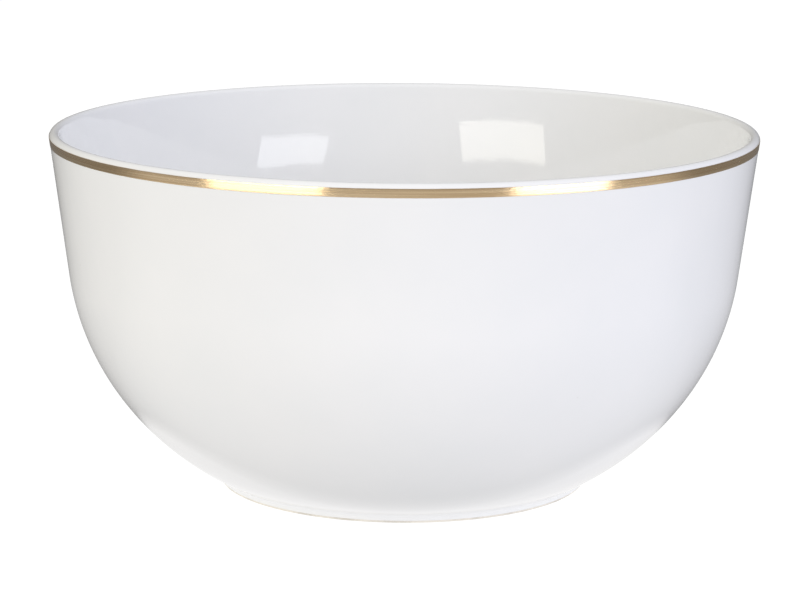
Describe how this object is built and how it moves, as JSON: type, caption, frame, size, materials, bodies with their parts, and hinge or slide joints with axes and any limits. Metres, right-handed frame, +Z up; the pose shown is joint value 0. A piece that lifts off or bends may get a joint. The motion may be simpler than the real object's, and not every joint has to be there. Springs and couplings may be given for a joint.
{
  "type": "serving bowl",
  "caption": "Deep round porcelain serving bowl with a nearly straight flaring wall, a rounded belly, a short foot ring and a thin gold band under a white lip.",
  "frame": {"origin": "on the table, under the middle of the foot ring", "axes": "+Z up along the bowl's axis, from the foot to the rim; the bowl is round, so +X and +Y are alike"},
  "size_m": [0.2302, 0.2302, 0.1165],
  "materials": {
    "fired_clay": "bare fired porcelain, fine and matt, seen only on the edge of the foot ring",
    "white_glaze": "glossy clear glaze over white porcelain, which reads as a neutral glossy white",
    "gold": "bright fired gold, brushed on by hand while the bowl turns"
  },
  "bodies": {
    "root": {"porcelain_body": "fired_clay", "glaze_coat": "white_glaze", "underside_glaze": "white_glaze", "gold_band": "gold"}
  },
  "joints": []
}
